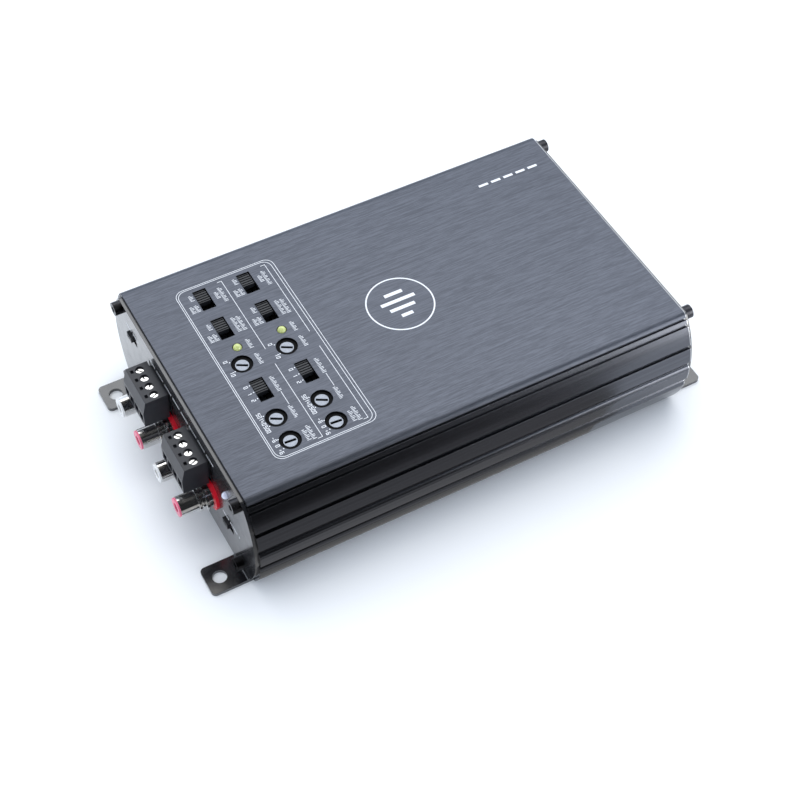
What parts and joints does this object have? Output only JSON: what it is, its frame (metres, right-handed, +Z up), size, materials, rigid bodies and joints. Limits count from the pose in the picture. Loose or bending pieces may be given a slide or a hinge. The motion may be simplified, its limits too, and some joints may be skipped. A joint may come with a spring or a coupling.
{
  "type": "car amplifier",
  "caption": "Compact grooved aluminium car amplifier with bent steel end plates and feet, RCA inputs, plug-in screw terminals, slide switches and trimmers on top.",
  "frame": {"origin": "middle of the case on the plane of the feet", "axes": "+X along the case from the input end to the output end, +Y across it, +Z up"},
  "size_m": [0.2254, 0.1334, 0.0532],
  "materials": {
    "anodised_case": "brushed, dark anodised",
    "black_steel": "satin black powder coat",
    "black_oxide": "black oxide",
    "zinc_steel": "zinc plated",
    "cover_sheet": "black sheet steel",
    "fr4": "solder mask",
    "brass": "plain",
    "nickel": "bright nickel",
    "black_plastic": "moulded",
    "grey_plastic": "moulded",
    "dark_plastic": "moulded",
    "rotor_plastic": "moulded",
    "red_plastic": "moulded",
    "white_plastic": "moulded",
    "milky_lens": "diffused lens",
    "green_lens": "tinted lens",
    "ferrite": "sintered",
    "enamelled_wire": "enamelled copper",
    "sleeve": "shrink sleeve",
    "bare_aluminium": "milled"
  },
  "bodies": {
    "chassis": {"shell": "anodised_case", "bottom_cover": "cover_sheet", "cover_screws": "black_oxide", "input_plate": "black_steel", "output_plate": "black_steel", "input_plate_screws": "black_oxide", "output_plate_screws": "black_oxide", "main_board": "fr4", "board_screws": "zinc_steel", "board_posts": "brass", "post_screws": "zinc_steel", "input_board": "fr4", "control_board": "fr4", "board_links": "black_plastic", "rca_bodies": "black_plastic", "rca_barrels": "nickel", "rca_insulators_red": "red_plastic", "rca_insulators_white": "white_plastic", "rca_contacts": "brass", "rca_collars_red": "red_plastic", "rca_collars_white": "white_plastic", "input_headers": "black_plastic", "input_header_pins": "brass", "mode_switch_cases": "black_plastic", "status_led": "milky_lens", "clip_leds": "green_lens", "switch_cases": "dark_plastic", "pot_cases": "dark_plastic", "toroid_core": "ferrite", "toroid_winding": "enamelled_wire", "inductors": "ferrite", "capacitors": "sleeve", "heat_bars": "bare_aluminium", "transistors": "black_plastic", "power_block": "black_plastic", "power_cages": "nickel", "power_screws": "nickel", "speaker_header": "black_plastic"},
    "slider_1": {"slider_1": "grey_plastic"},
    "slider_2": {"slider_2": "grey_plastic"},
    "slider_3": {"slider_3": "grey_plastic"},
    "slider_4": {"slider_4": "grey_plastic"},
    "slider_5": {"slider_5": "grey_plastic"},
    "slider_6": {"slider_6": "grey_plastic"},
    "rotor_1": {"rotor_1": "rotor_plastic"},
    "rotor_2": {"rotor_2": "rotor_plastic"},
    "rotor_3": {"rotor_3": "rotor_plastic"},
    "rotor_4": {"rotor_4": "rotor_plastic"},
    "rotor_5": {"rotor_5": "rotor_plastic"},
    "rotor_6": {"rotor_6": "rotor_plastic"},
    "mode_slider_1": {"mode_slider_1": "grey_plastic"},
    "mode_slider_2": {"mode_slider_2": "grey_plastic"},
    "input_plug_1": {"input_plug_1": "black_plastic", "input_plug_1_cages": "nickel", "input_plug_1_screws": "nickel"},
    "input_plug_2": {"input_plug_2": "black_plastic", "input_plug_2_cages": "nickel", "input_plug_2_screws": "nickel"},
    "speaker_plug": {"speaker_plug": "black_plastic", "speaker_plug_metal": "nickel"}
  },
  "joints": [
    {"name": "slider_1_travel", "type": "slide", "parent": "chassis", "child": "slider_1", "axis": [0, 1, 0], "range_m": [-0.0044, 0]},
    {"name": "slider_2_travel", "type": "slide", "parent": "chassis", "child": "slider_2", "axis": [0, 1, 0], "range_m": [-0.0044, 0]},
    {"name": "slider_3_travel", "type": "slide", "parent": "chassis", "child": "slider_3", "axis": [0, 1, 0], "range_m": [-0.0044, 0]},
    {"name": "slider_4_travel", "type": "slide", "parent": "chassis", "child": "slider_4", "axis": [0, 1, 0], "range_m": [-0.0044, 0]},
    {"name": "slider_5_travel", "type": "slide", "parent": "chassis", "child": "slider_5", "axis": [0, 1, 0], "range_m": [-0.0044, 0]},
    {"name": "slider_6_travel", "type": "slide", "parent": "chassis", "child": "slider_6", "axis": [0, 1, 0], "range_m": [-0.0044, 0]},
    {"name": "rotor_1_turn", "type": "hinge", "parent": "chassis", "child": "rotor_1", "pos_m": [-0.0502, 0.0014, 0.0465], "axis": [0, 0, 1], "range_deg": [-150, 150]},
    {"name": "rotor_2_turn", "type": "hinge", "parent": "chassis", "child": "rotor_2", "pos_m": [-0.0502, -0.0281, 0.0465], "axis": [0, 0, 1], "range_deg": [-150, 150]},
    {"name": "rotor_3_turn", "type": "hinge", "parent": "chassis", "child": "rotor_3", "pos_m": [-0.0502, -0.0399, 0.0465], "axis": [0, 0, 1], "range_deg": [-150, 150]},
    {"name": "rotor_4_turn", "type": "hinge", "parent": "chassis", "child": "rotor_4", "pos_m": [-0.0693, 0.0014, 0.0465], "axis": [0, 0, 1], "range_deg": [-150, 150]},
    {"name": "rotor_5_turn", "type": "hinge", "parent": "chassis", "child": "rotor_5", "pos_m": [-0.0693, -0.0281, 0.0465], "axis": [0, 0, 1], "range_deg": [-150, 150]},
    {"name": "rotor_6_turn", "type": "hinge", "parent": "chassis", "child": "rotor_6", "pos_m": [-0.0693, -0.0399, 0.0465], "axis": [0, 0, 1], "range_deg": [-150, 150]},
    {"name": "mode_slider_1_travel", "type": "slide", "parent": "chassis", "child": "mode_slider_1", "axis": [0, 1, 0], "range_m": [-0.003, 0]},
    {"name": "mode_slider_2_travel", "type": "slide", "parent": "chassis", "child": "mode_slider_2", "axis": [0, 1, 0], "range_m": [-0.003, 0]},
    {"name": "input_plug_1_pull", "type": "slide", "parent": "chassis", "child": "input_plug_1", "axis": [-1, 0, 0], "range_m": [0, 0.012]},
    {"name": "input_plug_2_pull", "type": "slide", "parent": "chassis", "child": "input_plug_2", "axis": [-1, 0, 0], "range_m": [0, 0.012]},
    {"name": "speaker_plug_pull", "type": "slide", "parent": "chassis", "child": "speaker_plug", "axis": [1, 0, 0], "range_m": [0, 0.012]}
  ]
}
